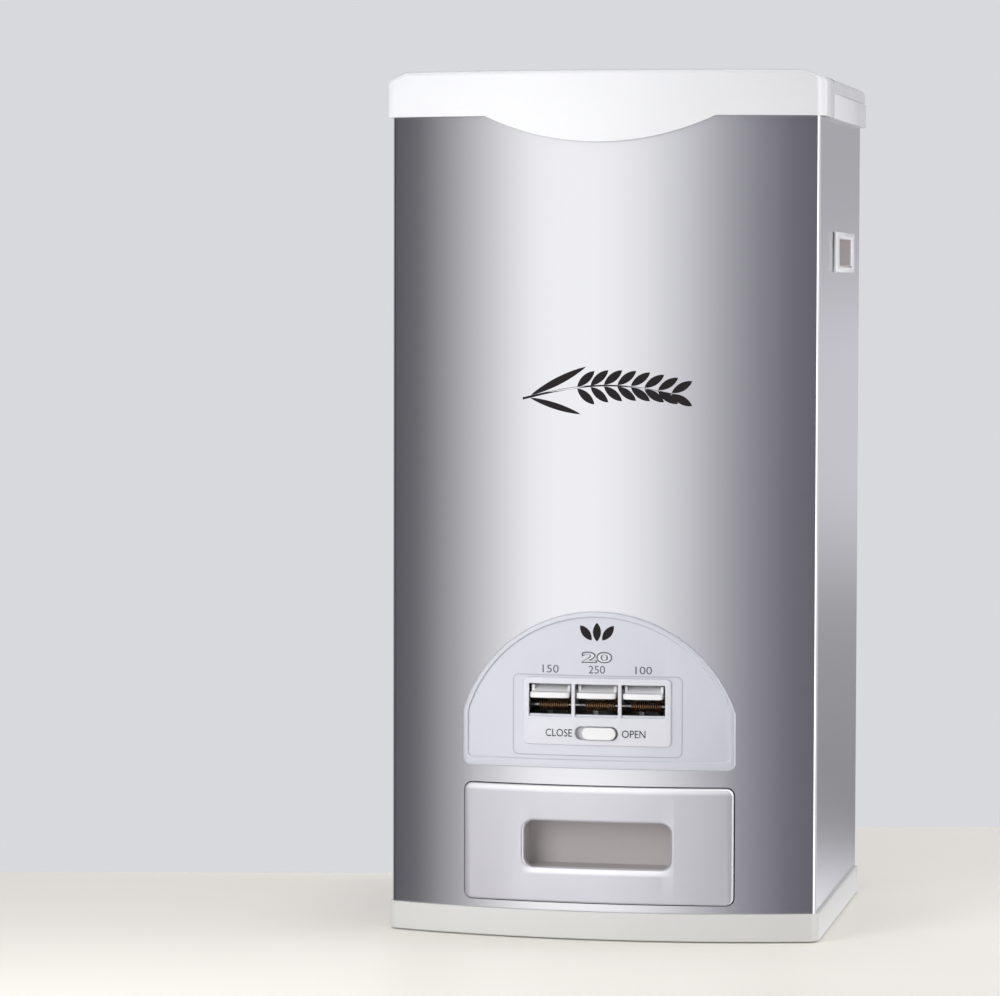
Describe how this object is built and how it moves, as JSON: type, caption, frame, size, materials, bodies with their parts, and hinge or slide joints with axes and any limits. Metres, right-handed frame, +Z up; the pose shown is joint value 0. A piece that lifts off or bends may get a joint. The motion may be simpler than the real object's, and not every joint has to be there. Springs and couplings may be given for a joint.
{
  "type": "rice dispenser",
  "caption": "Tall steel rice dispenser with bowed front, hinged lid, portion keys with a lock slide, side hand-holds and a pull-out drawer at the bottom.",
  "frame": {"origin": "bottom centre of the bounding box, on the surface the feet stand on", "axes": "+Z up, front towards -Y, +X to the right seen from the front"},
  "size_m": [0.2946, 0.2664, 0.575],
  "materials": {
    "white_abs": "glossy white ABS",
    "brushed_stainless": "vertically brushed stainless steel",
    "zinc_steel": "zinc coated sheet steel",
    "aluminium_rivet": "plain aluminium",
    "base_abs": "satin off-white ABS",
    "foot_rubber": "black rubber",
    "silicone": "pale silicone",
    "panel_abs": "satin pale grey ABS",
    "plate_abs": "satin pale grey ABS",
    "knob_abs": "white ABS",
    "lock_acetal": "natural acetal",
    "key_abs": "white ABS",
    "spring_wire": "bronzed spring wire",
    "steel_rod": "bright steel",
    "steel_screw": "zinc plated steel",
    "hopper_pp": "natural polypropylene",
    "case_abs": "cream ABS",
    "drawer_front_abs": "satin silver-grey ABS",
    "pull_cup_abs": "grey ABS",
    "drawer_ps": "white polystyrene",
    "runner_pom": "white acetal"
  },
  "bodies": {
    "dispenser": {"top_collar": "white_abs", "hand_hold_left": "white_abs", "hand_hold_right": "white_abs", "body_wrap": "brushed_stainless", "back_panel": "zinc_steel", "back_rivets": "aluminium_rivet", "base_tray": "base_abs", "foot_pads": "foot_rubber", "drawer_stops": "foot_rubber", "spring_rod": "steel_rod", "hopper_funnel": "hopper_pp", "control_panel": "panel_abs", "switch_plate": "plate_abs", "key_spring_150": "spring_wire", "key_spring_250": "spring_wire", "key_spring_100": "spring_wire", "key_axle": "steel_rod", "hinge_rod": "steel_rod", "axle_clips": "steel_rod", "stand_screws": "steel_screw", "hopper": "hopper_pp", "metering_case": "case_abs", "rice_chute": "case_abs", "stand_left": "zinc_steel", "stand_right": "zinc_steel", "runner_left": "runner_pom", "runner_right": "runner_pom"},
    "lid": {"lid": "white_abs", "lid_ring": "white_abs", "lid_seal": "silicone"},
    "drawer": {"drawer_front": "drawer_front_abs", "pull_cup": "pull_cup_abs", "drawer_box": "drawer_ps", "drawer_screws": "steel_screw"},
    "key_150": {"key_150": "key_abs"},
    "key_250": {"key_250": "key_abs"},
    "key_100": {"key_100": "key_abs"},
    "lock": {"lock_knob": "knob_abs", "lock_bar": "lock_acetal"}
  },
  "joints": [
    {"name": "lid_hinge", "type": "hinge", "parent": "dispenser", "child": "lid", "pos_m": [0, 0.12935, 0.5615], "axis": [-1, 0, 0], "range_deg": [0, 100]},
    {"name": "drawer_slide", "type": "slide", "parent": "dispenser", "child": "drawer", "axis": [0, -1, 0], "range_m": [0, 0.12]},
    {"name": "lock_slide", "type": "slide", "parent": "dispenser", "child": "lock", "axis": [-1, 0, 0], "range_m": [0, 0.0053]},
    {"name": "key_150_press", "type": "hinge", "parent": "dispenser", "child": "key_150", "pos_m": [0, -0.09425, 0.16], "axis": [1, 0, 0], "range_deg": [0, 16], "stiffness_Nm_per_rad": 0.4, "springref_deg": -11.46},
    {"name": "key_250_press", "type": "hinge", "parent": "dispenser", "child": "key_250", "pos_m": [0, -0.09425, 0.16], "axis": [1, 0, 0], "range_deg": [0, 16], "stiffness_Nm_per_rad": 0.4, "springref_deg": -11.46},
    {"name": "key_100_press", "type": "hinge", "parent": "dispenser", "child": "key_100", "pos_m": [0, -0.09425, 0.16], "axis": [1, 0, 0], "range_deg": [0, 16], "stiffness_Nm_per_rad": 0.4, "springref_deg": -11.46}
  ]
}
